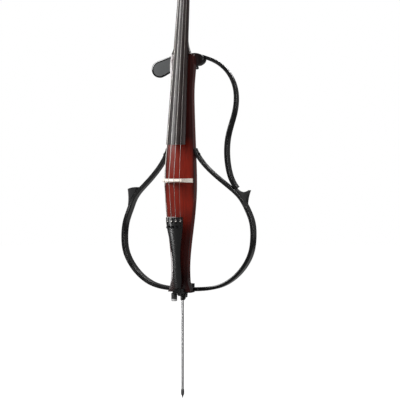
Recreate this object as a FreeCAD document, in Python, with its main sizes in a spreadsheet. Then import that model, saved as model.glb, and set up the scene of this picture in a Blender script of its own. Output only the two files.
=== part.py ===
import FreeCAD, Part
import math
import os

# A skeleton-type electric cello in millimetres.
# Origin: the point of the endpin. +Z runs up the neck, the front faces -Y, +X is the player's left.

V = FreeCAD.Vector
Rotation = FreeCAD.Rotation
Placement = FreeCAD.Placement

DRIVING = {
    "string_length": 695,      # nut to bridge
    "bridge_level": 690,       # height of the bridge above the endpin's point
    "bridge_crown": 104.5,     # how far the bridge's top stands in front of the axis
    "bridge_gap": 16.4,        # string spacing at the bridge
    "nut_gap": 7.3,            # string spacing at the nut
    "nut_crown": 19.6,         # how far the nut's top lies behind the axis
    "tail_gap": 14,          # string spacing at the tailpiece
    "board_end": 802,          # lower end of the fingerboard
    "board_half_low": 31,
    "board_half_nut": 16,
    "board_side": 6,           # thickness of the fingerboard at its edges
    "board_curve": 63,         # radius of the fingerboard's crown
    "body_bottom": 340,
    "body_top": 1090,
    "front_plate": 7,          # thickness of the front plate
    "shell_wall": 4.5,
    "ribbon_thick": 11.5,      # frame ribbon, seen from the front
    "ribbon_depth": 36,        # frame ribbon, front to back
    "endpin_radius": 4,
    "endpin_top": 450,         # upper end of the rod, inside the body
    "socket_radius": 16,
    "peg_radius": 5,
    "axle_radius": 1.2,
    "screw_radius": 1.4,       # fine-tuner screws
    "run_gap": 0.06,           # radial clearance of a shaft in its hole
    "side_gap": 0.5,           # clearance beside a moving flat part
    "plate_half": 17,          # half width of the control plate
    "plate_low": 800,
    "plate_high": 965,
    "plate_level": 37,         # outer face of the control plate
    "door_half": 14,
    "door_low": 536,
    "door_high": 600,
    "door_level": 30.5,        # outer face of the battery door
    "cell_radius": 7.25,
    "cell_length": 50.5,
}

doc = FreeCAD.newDocument("Cello")
sheet = doc.addObject("Spreadsheet::Sheet", "Sizes")
for row, (word, number) in enumerate(DRIVING.items(), start=1):
    sheet.set(f"A{row}", word)
    sheet.set(f"B{row}", str(number))
    sheet.setAlias(f"B{row}", word)
doc.recompute()

SUB_PARTS = []


def size(word):
    return float(getattr(sheet, word))


def keep(item, label):
    """Marks a document object as one sub-part, under its own name."""
    item.Label = label
    SUB_PARTS.append(item)
    return item


def bind(item, **formulas):
    for name, formula in formulas.items():
        item.setExpression(name, formula)


# ---- PartDesign helpers ----

def new_body(name):
    return doc.addObject("PartDesign::Body", name)


def new_sketch(body, plane, offset=0.0):
    """A sketch on one of the body's own origin planes, moved along the plane's normal."""
    sketch = body.newObject("Sketcher::SketchObject", "Sketch")
    for feature in body.Origin.OriginFeatures:
        if feature.Role == plane:
            sketch.AttachmentSupport = [(feature, "")]
    sketch.MapMode = "FlatFace"
    sketch.AttachmentOffset = Placement(V(0, 0, offset), Rotation())
    return sketch


def draw_polygon(sketch, points):
    corners = [V(a, b, 0) for a, b in points]
    for start, end in zip(corners, corners[1:] + corners[:1]):
        sketch.addGeometry(Part.LineSegment(start, end), False)


def draw_box(sketch, low_a, low_b, high_a, high_b):
    draw_polygon(sketch, [(low_a, low_b), (high_a, low_b), (high_a, high_b), (low_a, high_b)])


def draw_circle(sketch, a, b, radius):
    sketch.addGeometry(Part.Circle(V(a, b, 0), V(0, 0, 1), radius), False)


def spline(points):
    curve = Part.BSplineCurve()
    curve.interpolate([V(a, b, 0) for a, b in points])
    return curve


def draw_between_splines(sketch, one, other):
    """A closed outline: two curves joined by a straight line at each end."""
    sketch.addGeometry(spline(one), False)
    sketch.addGeometry(spline(other), False)
    for end in (0, -1):
        sketch.addGeometry(Part.LineSegment(V(*one[end], 0), V(*other[end], 0)), False)


def pad(body, sketch, formula, midplane=False, reversed_=False):
    feature = body.newObject("PartDesign::Pad", "Pad")
    feature.Profile = sketch
    feature.Midplane = midplane
    feature.Reversed = reversed_
    feature.setExpression("Length", formula)
    return feature


def pocket(body, sketch, formula=None, midplane=False, reversed_=False):
    feature = body.newObject("PartDesign::Pocket", "Pocket")
    feature.Profile = sketch
    feature.Midplane = midplane
    feature.Reversed = reversed_
    if formula:
        feature.setExpression("Length", formula)
    else:
        feature.Length = 400
    return feature


def loft(body, sketches):
    feature = body.newObject("PartDesign::AdditiveLoft", "Loft")
    feature.Profile = sketches[0]
    feature.Sections = sketches[1:]
    return feature


def revolve(body, sketch, axis="V_Axis"):
    feature = body.newObject("PartDesign::Revolution", "Revolution")
    feature.Profile = sketch
    feature.ReferenceAxis = (sketch, [axis])
    feature.Angle = 360
    return feature


def round_edges(body, feature, radius, wanted):
    """Rounds the edges of the last feature that the test function picks."""
    doc.recompute()
    names = []
    for index, edge in enumerate(feature.Shape.Edges, start=1):
        if wanted(edge):
            names.append(f"Edge{index}")
    rounded = body.newObject("PartDesign::Fillet", "Fillet")
    rounded.Base = (feature, names)
    rounded.Radius = radius
    return rounded


def turned_body(name, profile):
    """A body of revolution about its own Z axis from (radius, height) corners."""
    body = new_body(name)
    sketch = new_sketch(body, "XZ_Plane")
    draw_polygon(sketch, profile)
    revolve(body, sketch)
    return body


# ---- Part helpers ----

def part_object(kind, name, **links):
    item = doc.addObject(f"Part::{kind}", name)
    for key, value in links.items():
        setattr(item, key, value)
    return item


def cut(name, base, tool):
    return part_object("Cut", name, Base=base, Tool=tool)


def common(name, one, other):
    return part_object("MultiCommon", name, Shapes=[one, other])


def fuse(name, shapes):
    return part_object("MultiFuse", name, Shapes=shapes)


def group(name, shapes):
    return part_object("Compound", name, Links=shapes)


def box(name, low, high):
    item = doc.addObject("Part::Box", name)
    item.Length = high[0] - low[0]
    item.Width = high[1] - low[1]
    item.Height = high[2] - low[2]
    item.Placement = Placement(V(*low), Rotation())
    return item


def cylinder(name, start, direction, radius, length):
    """A cylinder from a point along a direction; radius and length are sheet formulas or numbers."""
    item = doc.addObject("Part::Cylinder", name)
    bind(item, Radius=str(radius), Height=str(length))
    item.Placement = Placement(V(*start), Rotation(V(0, 0, 1), V(*direction)))
    return item


# ---- the slim body ----

# height, half width, front edge, rise of the arched front, back
STATIONS = (
    (340, 38, -31, 2, 32),
    (350, 34.5, -31, 2, 30),
    (364, 30, -31.5, 2, 26.5),
    (385, 27.8, -31.5, 2, 24),
    (420, 27.4, -31.5, 2.5, 23),
    (455, 29.2, -31.3, 3, 25),
    (490, 32.6, -31, 3.5, 27.8),
    (559, 41, -30.5, 4.5, 33.5),
    (654, 48.5, -29.5, 6, 39.5),
    (769, 45.5, -26, 5.5, 42),
    (921, 37.5, -18, 4, 43),
    (997, 36.5, -12, 3, 43),
    (1055, 40, -7, 2, 41.5),
    (1090, 35, -4, 1.5, 38),
)
SIDE_DEPTH = 20  # the flat part of the body's sides, behind the front edge


def draw_body_section(sketch, half, front, rise, back):
    """Arched front, straight sides and a half-elliptic back."""
    turn = front + SIDE_DEPTH
    arch = Part.Arc(V(-half, front, 0), V(0, front - rise, 0), V(half, front, 0))
    boat = Part.BSplineCurve()
    steps = [math.pi * k / 8 for k in range(9)]
    points = [V(half * math.cos(a), turn + (back - turn) * math.sin(a), 0) for a in steps]
    boat.interpolate(Points=points, InitialTangent=V(0, 1, 0), FinalTangent=V(0, -1, 0))
    sketch.addGeometry(arch, False)
    sketch.addGeometry(Part.LineSegment(V(half, front, 0), V(half, turn, 0)), False)
    sketch.addGeometry(boat, False)
    sketch.addGeometry(Part.LineSegment(V(-half, turn, 0), V(-half, front, 0)), False)


def body_loft(name, inset):
    """The outer form of the body, or with an inset the hollow inside it."""
    body = new_body(name)
    sections = []
    for height, half, front, rise, back in STATIONS:
        if inset and height == STATIONS[0][0]:
            continue
        level = height
        if inset and height == STATIONS[-1][0]:
            level = height - 3 * inset
        sketch = new_sketch(body, "XY_Plane", level)
        draw_body_section(sketch, half - inset, front, rise, back - inset)
        sections.append(sketch)
    loft(body, sections)
    return body


def front_zone():
    """Everything in front of the seam between the front plate and the shell."""
    body = new_body("FrontZone")
    sketch = new_sketch(body, "YZ_Plane")
    seam = [(front + size("front_plate"), height) for height, half, front, rise, back in STATIONS]
    seam = [(seam[0][0], 300)] + seam + [(seam[-1][0] + 4, 1140)]
    ahead = [(-140, height) for y, height in seam]
    draw_between_splines(sketch, seam, ahead)
    pad(body, sketch, "240 mm", midplane=True)
    return body


def battery_bay():
    """Cutter for the battery door's flat seat and the opening in it."""
    level = size("door_level")
    half = size("door_half")
    low = size("door_low")
    high = size("door_high")
    seat = box("DoorSeat", (-half - 3, level, low - 6), (half + 3, level + 40, high + 3))
    hole = box("DoorHole", (-half, 2, low), (half, level + 1, high))
    return fuse("BatteryBay", [seat, hole])


def control_opening():
    half = size("plate_half")
    low = (-half, 20, size("plate_low"))
    high = (half, 90, size("plate_high"))
    return box("ControlOpening", low, high)


def endpin_hole():
    start = (0, 0, size("body_bottom") - 5)
    return cylinder("EndpinHole", start, (0, 0, 1), "9 mm", "120 mm")


KNOB_PLACES = ((-24, -12), (17, -15))  # the frame knobs under the body


def knob_holes():
    holes = []
    for x, y in KNOB_PLACES:
        holes.append(cylinder("KnobHole", (x, y, 335), (0, 0, 1), "2.5 + Sizes.run_gap", "40 mm"))
    return holes


def make_body(pod, zone, hollow, pickup):
    plate = common("FrontPlate", pod, zone)
    keep(cut("BodyFront", plate, pickup), "body_front")
    behind = cut("Behind", pod, zone)
    cutters = [hollow, battery_bay(), control_opening(), endpin_hole()] + knob_holes()
    keep(cut("BodyShell", behind, fuse("ShellCuts", cutters)), "body_shell")


def make_blocks(hollow, zone):
    """Wooden blocks inside the shell: at the tail, under the bridge and at the neck."""
    levels = ((356, 425), (665, 715), (1012, 1074))
    slabs = [box("Slab", (-80, -60, low), (80, 60, high)) for low, high in levels]
    solid = common("BlockStock", hollow, group("Slabs", slabs))
    behind = cut("BlocksBehind", solid, zone)
    bore = cylinder("RodPassage", (0, 0, 500), (0, 0, 1), "6 mm", "260 mm")
    cutters = fuse("BlockCuts", [bore, endpin_hole()] + knob_holes())
    keep(cut("InnerBlocks", behind, cutters), "inner_blocks")


# ---- fingerboard, neck and head ----

def board_half(height):
    low = size("board_end")
    nut = size("bridge_level") + size("string_length")
    part = (height - low) / (nut - low)
    return size("board_half_low") + part * (size("board_half_nut") - size("board_half_low"))


def board_crown(height):
    """Front of the fingerboard on its centre line."""
    low = size("board_end")
    nut = size("bridge_level") + size("string_length")
    crown_low = -75
    crown_nut = size("nut_crown") + 1.2
    return crown_low + (height - low) / (nut - low) * (crown_nut - crown_low)


def board_back(height):
    """The flat face where the fingerboard is glued to the neck."""
    radius = size("board_curve")
    low = size("board_end")
    nut = size("bridge_level") + size("string_length")
    faces = []
    for end in (low, nut):
        drop = radius - math.sqrt(radius ** 2 - board_half(end) ** 2)
        faces.append(board_crown(end) + drop + size("board_side"))
    return faces[0] + (height - low) / (nut - low) * (faces[1] - faces[0])


def make_fingerboard():
    body = new_body("Fingerboard")
    sections = []
    for height in (size("board_end"), size("bridge_level") + size("string_length")):
        half = board_half(height)
        back = board_back(height)
        edge = back - size("board_side")
        sketch = new_sketch(body, "XY_Plane", height)
        arch = Part.Arc(V(-half, edge, 0), V(0, board_crown(height), 0), V(half, edge, 0))
        sketch.addGeometry(arch, False)
        sketch.addGeometry(Part.LineSegment(V(half, edge, 0), V(half, back, 0)), False)
        sketch.addGeometry(Part.LineSegment(V(half, back, 0), V(-half, back, 0)), False)
        sketch.addGeometry(Part.LineSegment(V(-half, back, 0), V(-half, edge, 0)), False)
        sections.append(sketch)
    loft(body, sections)
    keep(body, "fingerboard")


def draw_neck_section(sketch, half, front, back):
    """Flat in front, half-elliptic behind."""
    steps = [math.pi * k / 6 for k in range(7)]
    points = [V(half * math.cos(a), front + (back - front) * math.sin(a), 0) for a in steps]
    curve = Part.BSplineCurve()
    curve.interpolate(Points=points, InitialTangent=V(0, 1, 0), FinalTangent=V(0, -1, 0))
    sketch.addGeometry(curve, False)
    sketch.addGeometry(Part.LineSegment(V(-half, front, 0), V(half, front, 0)), False)


def make_neck(pod):
    nut = size("bridge_level") + size("string_length")
    top = size("body_top")
    shaft = new_body("NeckShaft")
    # height, half width, back
    heel = ((top, 32, 35), (top + 10, 28, 34), (top + 28, 22.5, 26), (top + 52, 21, 17))
    upper = ((1190, board_half(1190) - 0.5, 19), (1290, board_half(1290) - 0.5, 32), (nut, 15.5, 46))
    sections = []
    for height, half, back in heel + upper:
        sketch = new_sketch(shaft, "XY_Plane", height)
        draw_neck_section(sketch, half, board_back(height), back)
        sections.append(sketch)
    loft(shaft, sections)
    foot = new_body("NeckFoot")
    sections = []
    for height, half in ((1004, 17), (top, 22)):
        sketch = new_sketch(foot, "XY_Plane", height)
        draw_box(sketch, -half, board_back(height), half, 4)
        sections.append(sketch)
    loft(foot, sections)
    keep(cut("Neck", fuse("NeckStock", [shaft, foot]), pod), "neck")


PEGBOX_TILT = 21  # degrees that the head leans back
# string: side of its peg's grip, height of the peg in the pegbox, where the string meets it
PEGS = {
    "c": (-1, 52, -4.5),
    "g": (-1, 100, -3.5),
    "d": (1, 76, 3.5),
    "a": (1, 30, 4.5),
}
STRING_RADIUS = {"c": 0.95, "g": 0.72, "d": 0.58, "a": 0.45}
STRING_ORDER = "cgda"
PEG_DEPTH = 12  # the pegs' axes lie this far behind the head's front face


def head_frame():
    """The frame of the head: its origin is at the nut, z runs up the head."""
    nut = size("bridge_level") + size("string_length")
    place = V(0, board_back(nut) - size("board_side"), nut)
    return Placement(place, Rotation(V(1, 0, 0), -PEGBOX_TILT))


def make_pegbox():
    body = new_body("PegboxStock")
    side = new_sketch(body, "YZ_Plane")
    draw_polygon(side, [(-1, -18), (-1, 6), (1, 118), (-4, 150), (4, 172), (20, 178), (34, 168),
                        (37, 150), (30, 132), (27, 118), (27, 40), (25, -18)])
    stock = pad(body, side, "38 mm", midplane=True)
    round_edges(body, stock, 6, lambda edge: edge.Length > 36 and edge.CenterOfMass.z > 125)
    taper = new_sketch(body, "XZ_Plane")
    for sign in (-1, 1):
        draw_polygon(taper, [(sign * 19, 0), (sign * 30, 0), (sign * 30, 190), (sign * 13, 190),
                             (sign * 13, 125)])
    pocket(body, taper, midplane=True)
    channel = new_sketch(body, "XZ_Plane", 5)
    draw_polygon(channel, [(-12, 9), (12, 9), (7.5, 116), (-7.5, 116)])
    pocket(body, channel, "26 mm")
    holes = new_sketch(body, "YZ_Plane")
    for name in PEGS:
        level = PEGS[name][1]
        draw_circle(holes, PEG_DEPTH, level, size("peg_radius") + size("run_gap"))
    pocket(body, holes, midplane=True)
    body.Placement = head_frame()
    nut = size("bridge_level") + size("string_length")
    below = box("BelowNut", (-60, -40, nut - 80), (60, 120, nut))
    return keep(cut("Pegbox", body, below), "pegbox")


def make_nut():
    nut = size("bridge_level") + size("string_length")
    half = size("board_half_nut")
    body = new_body("Nut")
    sketch = new_sketch(body, "XY_Plane", nut)
    crown = size("nut_crown")
    radius = size("board_curve")
    edge = crown + radius - math.sqrt(radius ** 2 - half ** 2)
    sketch.addGeometry(Part.Arc(V(-half, edge, 0), V(0, crown, 0), V(half, edge, 0)), False)
    back = board_back(nut) - size("board_side") + 0.6
    sketch.addGeometry(Part.LineSegment(V(half, edge, 0), V(half, back, 0)), False)
    sketch.addGeometry(Part.LineSegment(V(half, back, 0), V(-half, back, 0)), False)
    sketch.addGeometry(Part.LineSegment(V(-half, back, 0), V(-half, edge, 0)), False)
    pad(body, sketch, "5 mm")
    return body


def make_peg(name):
    """A tapered-looking peg: shaft, collar and an oval grip, with the string's turns on it."""
    side, level, reach = PEGS[name]
    radius = size("peg_radius")
    outer = 19 - 6 * level / 125
    body = new_body(f"Peg{name.upper()}")
    sketch = new_sketch(body, "XY_Plane")
    draw_polygon(sketch, [(-outer - 2, 0), (-outer - 2, radius), (outer + 3, radius), (outer + 4, 7),
                          (outer + 8, 7), (outer + 9, 4.5), (outer + 20, 4), (outer + 20, 0)])
    revolve(body, sketch, "H_Axis")
    grip = body.newObject("PartDesign::AdditiveEllipsoid", "Grip")
    grip.Radius1 = 13
    grip.Radius2 = 17
    grip.Radius3 = 5
    grip.Placement = Placement(V(outer + 31, 0, 0), Rotation())
    turn = Rotation(V(0, 0, 1), 0 if side > 0 else 180)
    body.Placement = head_frame().multiply(Placement(V(0, PEG_DEPTH, level), turn))
    keep(body, f"peg_{name}")
    coil = new_body(f"Winding{name.upper()}")
    sketch = new_sketch(coil, "XY_Plane")
    wire = STRING_RADIUS[name]
    turns = 4
    start = reach - turns * wire
    for k in range(turns):
        left = start + 2 * wire * k
        bulge = Part.Arc(V(left, radius + wire, 0), V(left + wire, radius + 2 * wire, 0),
                         V(left + 2 * wire, radius + wire, 0))
        sketch.addGeometry(bulge, False)
    end = start + 2 * wire * turns
    sketch.addGeometry(Part.LineSegment(V(end, radius + wire, 0), V(end, radius, 0)), False)
    sketch.addGeometry(Part.LineSegment(V(end, radius, 0), V(start, radius, 0)), False)
    sketch.addGeometry(Part.LineSegment(V(start, radius, 0), V(start, radius + wire, 0)), False)
    revolve(coil, sketch, "H_Axis")
    coil.Placement = head_frame().multiply(Placement(V(0, PEG_DEPTH, level), Rotation()))
    keep(coil, f"winding_{name}")


# ---- bridge, strings and tailpiece ----

BRIDGE_CURVE = 65  # radius of the bridge's top


def string_x(name, gap):
    return (STRING_ORDER.index(name) - 1.5) * size(gap)


def make_bridge(pod):
    """Two feet, a waist, a heart, two kidneys and a thin curved top."""
    top = -size("bridge_crown")
    body = new_body("BridgeStock")
    outline = new_sketch(body, "XY_Plane", size("bridge_level"))
    half = 30
    corner = top + BRIDGE_CURVE - math.sqrt(BRIDGE_CURVE ** 2 - half ** 2)
    outline.addGeometry(Part.Arc(V(-half, corner, 0), V(0, top, 0), V(half, corner, 0)), False)
    for sign in (-1, 1):
        side = [(sign * half, corner), (sign * 33, -84), (sign * 27, -72), (sign * 31, -58),
                (sign * 38, -44), (sign * 45, -37), (sign * 45, -26)]
        outline.addGeometry(spline(side[:-1]), False)
        for one, other in ((side[-2], side[-1]), (side[-1], (sign * 24, -26)),
                           ((sign * 24, -26), (sign * 24, -38))):
            outline.addGeometry(Part.LineSegment(V(*one, 0), V(*other, 0)), False)
    outline.addGeometry(Part.Arc(V(-24, -38, 0), V(0, -52, 0), V(24, -38, 0)), False)
    pad(body, outline, "13 mm", midplane=True)
    taper = new_sketch(body, "YZ_Plane")
    level = size("bridge_level")
    for sign in (-1, 1):
        draw_polygon(taper, [(-36, level + sign * 6.5), (top - 4, level + sign * 3.2),
                             (top - 4, level + sign * 9), (-36, level + sign * 9)])
    pocket(body, taper, midplane=True)
    eyes = new_sketch(body, "XY_Plane", level)
    draw_circle(eyes, 0, -76, 5)
    draw_circle(eyes, 0, -64, 3)
    for sign in (-1, 1):
        draw_circle(eyes, sign * 17, -70, 5.5)
    pocket(body, eyes, midplane=True)
    return cut("BridgeOnPlate", body, pod)


def make_pickup():
    """One thin pressure sensor under each foot of the bridge, let into the front plate."""
    level = size("bridge_level")
    pieces = []
    for sign in (-1, 1):
        middle = sign * 35
        pieces.append(box("Sensor", (middle - 7, -33.5, level - 4), (middle + 7, -31, level + 4)))
    return group("Pickup", pieces)


TAIL_LENGTH = 225
TAIL_TILT = 9.2  # degrees that the tailpiece leans forward
LEVER_PIVOT = (8.8, 213)  # depth and height of the levers' axle in the tailpiece
LEVER_BACK = {"c": 10.5, "g": 11.2, "d": 11.2, "a": 10.5}  # each lever balances on its axle
SCREW_LEVEL = 195
# height, half width, thickness, drop of the arched front at its edges
TAIL_STATIONS = (
    (0, 9.8, 9, 1.8),
    (88, 12.8, 10, 2.3),
    (150, 18.8, 12, 3.4),
    (186, 25, 13.4, 4.2),
    (TAIL_LENGTH, 27, 14.5, 4.5),
)


def tail_frame():
    """The frame of the tailpiece: its origin is at the lower end of the crown, z runs up."""
    return Placement(V(0, -47, 352), Rotation(V(1, 0, 0), TAIL_TILT))


def tail_surface(name):
    """Depth of the tailpiece's front under a string."""
    return 4.5 * (string_x(name, "tail_gap") / 27) ** 2


def make_tailpiece():
    body = new_body("Tailpiece")
    sections = []
    for height, half, thick, drop in TAIL_STATIONS:
        sketch = new_sketch(body, "XY_Plane", height)
        sketch.addGeometry(Part.Arc(V(-half, drop, 0), V(0, 0, 0), V(half, drop, 0)), False)
        corners = [(half, drop), (half * 0.93, thick), (-half * 0.93, thick), (-half, drop)]
        for one, other in zip(corners, corners[1:]):
            sketch.addGeometry(Part.LineSegment(V(*one, 0), V(*other, 0)), False)
        sections.append(sketch)
    loft(body, sections)
    slots = new_sketch(body, "XZ_Plane", 20)
    wells = new_sketch(body, "XZ_Plane", -5.8)
    screws = new_sketch(body, "XZ_Plane", 20)
    for name in STRING_ORDER:
        x = string_x(name, "tail_gap")
        draw_box(slots, x - 2.5, 206, x + 2.5, 222)
        draw_box(wells, x - 2.5, 186, x + 2.5, 222)
        draw_circle(screws, x, SCREW_LEVEL, size("screw_radius") + size("run_gap"))
    pocket(body, slots, "60 mm")
    pocket(body, wells, "30 mm")
    pocket(body, screws, "60 mm")
    axle = new_sketch(body, "YZ_Plane")
    draw_circle(axle, LEVER_PIVOT[0], LEVER_PIVOT[1], size("axle_radius"))
    pocket(body, axle, "52 mm", midplane=True)
    cords = new_sketch(body, "XY_Plane", -1)
    for x in (-6, 6):
        draw_circle(cords, x, 4.6, CORD_RADIUS)
    pocket(body, cords, "13 mm", reversed_=True)
    body.Placement = tail_frame()
    keep(body, "tailpiece")


def make_axle():
    x = 26
    place = tail_frame().multVec(V(-x, LEVER_PIVOT[0], LEVER_PIVOT[1]))
    keep(cylinder("Axle", tuple(place), (1, 0, 0), "Sizes.axle_radius", "52 mm"), "tuner_axle")


def make_lever(name):
    """An angle lever: its lip holds the string's ball, its long arm lies under the screw."""
    depth, level = LEVER_PIVOT
    lip = tail_surface(name) - 1.6 - 2.6
    body = new_body(f"Lever{name.upper()}")
    sketch = new_sketch(body, "YZ_Plane")
    back = LEVER_BACK[name]
    draw_polygon(sketch, [(8, 190), (8, 208), (4.6, 210.5), (4.6, 217.5), (lip, 217.5), (lip, 220.5),
                          (9.5, 220.5), (12, 217), (12, 209), (back, 207), (back, 190)])
    draw_circle(sketch, depth, level, size("axle_radius") + size("run_gap"))
    pad(body, sketch, "4 mm", midplane=True)
    groove = new_sketch(body, "XZ_Plane", 30)
    width = STRING_RADIUS[name] + 0.6
    draw_box(groove, -width, 216, width, 223)
    depth_to = 30 + tail_surface(name) - 1.6 + width
    pocket(body, groove, f"{depth_to} mm")
    place = Placement(V(string_x(name, "tail_gap"), 0, 0), Rotation())
    body.Placement = tail_frame().multiply(place)
    keep(body, f"tuner_lever_{name}")


def make_fine_screw(name):
    """A knurled thumb screw that presses on the lever's long arm."""
    surface = tail_surface(name)
    shaft = size("screw_radius")
    end = -7.7
    neck = -(surface - 2.0)
    profile = [(0, end), (shaft, end), (shaft, neck), (3.8, neck), (4.3, neck + 0.8),
               (4.3, neck + 4.4), (3.6, neck + 5.2), (0, neck + 5.2)]
    screw = turned_body(f"Screw{name.upper()}", profile)
    notch = new_sketch(screw, "XY_Plane", neck + 8)
    draw_circle(notch, 4.7, 0, 0.75)
    knurl = pocket(screw, notch, "7.6 mm")
    pattern = screw.newObject("PartDesign::PolarPattern", "Knurl")
    pattern.Originals = [knurl]
    pattern.Axis = (notch, ["N_Axis"])
    pattern.Angle = 360
    pattern.Occurrences = 12
    screw.Tip = pattern
    turn = Rotation(V(1, 0, 0), 90)
    place = Placement(V(string_x(name, "tail_gap"), 0, SCREW_LEVEL), turn)
    screw.Placement = tail_frame().multiply(place)
    keep(screw, f"fine_screw_{name}")


def rounded_path(points, radii):
    """Straight runs joined by tangent arcs at the inner points."""
    corners = [V(*p) for p in points]
    edges = []
    start = corners[0]
    for before, corner, after, radius in zip(corners, corners[1:], corners[2:], radii):
        into = (corner - before).normalize()
        out = (after - corner).normalize()
        turn = into.getAngle(out)
        reach = radius * math.tan(turn / 2)
        first = corner - into * reach
        last = corner + out * reach
        middle_line = (out - into).normalize()
        middle = corner + middle_line * (radius / math.cos(turn / 2) - radius)
        edges.append(Part.LineSegment(start, first).toShape())
        edges.append(Part.Arc(first, middle, last).toShape())
        start = last
    edges.append(Part.LineSegment(start, corners[-1]).toShape())
    return Part.Wire(edges)


def tube(path, radius):
    start = path.Edges[0].Vertexes[0].Point
    along = path.Edges[0].tangentAt(path.Edges[0].FirstParameter)
    ring = Part.Wire([Part.Circle(start, along, radius).toShape()])
    return path.makePipeShell([ring], True, False)


def string_points(name):
    wire = STRING_RADIUS[name]
    tail = tail_frame().multVec(V(string_x(name, "tail_gap"), tail_surface(name) - 1.6, 213))
    at_bridge = string_x(name, "bridge_gap")
    sag = BRIDGE_CURVE - math.sqrt(BRIDGE_CURVE ** 2 - at_bridge ** 2)
    bridge = V(at_bridge, -size("bridge_crown") + sag - wire - 0.15, size("bridge_level"))
    at_nut = string_x(name, "nut_gap")
    radius = size("board_curve")
    sag = radius - math.sqrt(radius ** 2 - at_nut ** 2)
    level = size("bridge_level") + size("string_length") + 2.5
    nut = V(at_nut, size("nut_crown") + sag - wire - 0.15, level)
    side, peg_level, reach = PEGS[name]
    frame = head_frame()
    front = frame.inverse().multVec(nut)
    axis = V(0, PEG_DEPTH - front.y, peg_level - front.z)
    distance = math.hypot(axis.y, axis.z)
    offset = size("peg_radius") + 3 * wire + 0.35
    lean = math.atan2(axis.y, axis.z) - math.asin(offset / distance)
    run = math.sqrt(distance ** 2 - offset ** 2) + 1
    end = V(reach, front.y + run * math.sin(lean), front.z + run * math.cos(lean))
    return tail, bridge, nut, frame.multVec(end)


def make_string(name):
    """One string with its ball end, from the tuner's lip over bridge and nut to its peg."""
    wire = STRING_RADIUS[name]
    points = string_points(name)
    path = rounded_path([tuple(p) for p in points], (6, 6))
    ball = Part.makeCylinder(2, 4.2, points[0] - V(2.1, 0, 0), V(1, 0, 0))
    item = doc.addObject("Part::Feature", f"String{name.upper()}")
    item.Shape = tube(path, wire).fuse(ball)
    return keep(item, f"string_{name}")


CORD_RADIUS = 1.3


def make_tail_cord():
    """Two runs of cord from the tailpiece over the saddle to the endpin's plug."""
    frame = tail_frame()
    runs = []
    for x in (-6, 6):
        start = frame.multVec(V(x, 4.6, 11))
        corner = frame.multVec(V(x, 4.6, -22))
        path = rounded_path([tuple(start), tuple(corner), (x, -13, 331)], (7,))
        runs.append(tube(path, CORD_RADIUS))
    item = doc.addObject("Part::Feature", "TailCord")
    item.Shape = Part.makeCompound(runs)
    keep(item, "tail_cord")
    return item


def make_saddle(pod, cord):
    stock = box("SaddleStock", (-17, -40, 334), (17, -25, 350))
    keep(cut("Saddle", stock, fuse("SaddleUsed", [pod, cord])), "saddle")


# ---- endpin ----

def make_socket(cord):
    """The plug, its clamping collar below and its guide tube inside the body."""
    bottom = size("body_bottom")
    radius = size("socket_radius")
    bore = size("endpin_radius") + size("run_gap")
    body = turned_body("SocketStock", [(bore, 312), (6.5, 312), (7, 313), (7, 324), (radius - 2, 325),
                                       (radius, 328), (radius, bottom), (9, bottom), (9, 420),
                                       (bore, 420)])
    hole = cylinder("ClampThread", (0, 0, 318), (0, 1, 0), "2 + Sizes.run_gap", "20 mm")
    return keep(cut("Socket", cut("SocketBored", body, hole), cord), "endpin_socket")


def make_endpin():
    top = "Sizes.endpin_top - 20"
    keep(cylinder("Rod", (0, 0, 20), (0, 0, 1), "Sizes.endpin_radius", top), "endpin_rod")
    rod = size("endpin_radius")
    profile = [(0, 0), (3.4, 11), (5.2, 13), (5.2, 28), (4.6, 30), (rod, 30), (rod, 20), (0, 20)]
    keep(turned_body("Tip", profile), "endpin_tip")
    screw = turned_body("ClampScrew", [(0, 0), (2, 0), (2, 3.2), (5, 3.2), (6, 4), (6, 9), (5, 10), (0, 10)])
    screw.Placement = Placement(V(0, 4.4, 318), Rotation(V(0, 0, 1), V(0, 1, 0)))
    keep(screw, "endpin_screw")


def make_yoke_knobs():
    """Two hand screws under the body that draw the lower frames tight."""
    # label, radius, how far it hangs below the body, height of its grip
    sizes = (("left_frame_knob", 9.3, 31, 25), ("right_frame_knob", 4.5, 18, 9))
    for (x, y), (label, radius, drop, grip) in zip(KNOB_PLACES, sizes):
        profile = [(0, -drop), (radius - 1.5, -drop), (radius, 1.5 - drop), (radius, grip - drop),
                   (radius * 0.6, grip - drop + 1.5), (radius * 0.6, -0.6), (2.5, -0.6), (2.5, 30), (0, 30)]
        knob = turned_body("FrameKnob", profile)
        knob.Placement = Placement(V(x, y, size("body_bottom")), Rotation())
        keep(knob, label)


# ---- frames ----

# the lower frame's centre line on the +X side, from the body's side round to the bottom
LOWER_LINE = ((44, 790), (66, 750), (99.6, 712), (142, 674), (180, 636), (200, 598), (214, 560),
              (218.7, 510), (212.6, 464), (195, 426), (163, 388), (117, 358.5), (60, 346), (6, 343.5))
# the same line seen from the side: height, depth of the centre, half of the ribbon's depth
LOWER_SIDE = ((320, 42, 17), (400, 47, 18), (500, 50, 18), (617, 48, 18), (655, 35, 16), (693, 20, 14),
              (731, 5, 13), (769, -5, 13), (810, -12, 13))
UPPER_LINE = ((36, 1091), (61.6, 1083), (101.8, 1065), (142, 1026), (161.2, 978), (163.2, 940),
              (157, 902), (145.5, 864), (135.9, 826), (132.4, 780), (137.4, 731), (149, 693), (165, 668))
UPPER_SIDE = ((640, 46, 17), (700, 48, 17), (900, 48, 14), (1050, 47, 10), (1120, 47, 8))


def offset_line(points, distance):
    """Points beside a line of points, at a distance to its left."""
    moved = []
    for index, (a, b) in enumerate(points):
        before = points[max(index - 1, 0)]
        after = points[min(index + 1, len(points) - 1)]
        step = math.hypot(after[0] - before[0], after[1] - before[1])
        moved.append((a - distance * (after[1] - before[1]) / step,
                      b + distance * (after[0] - before[0]) / step))
    return moved


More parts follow.
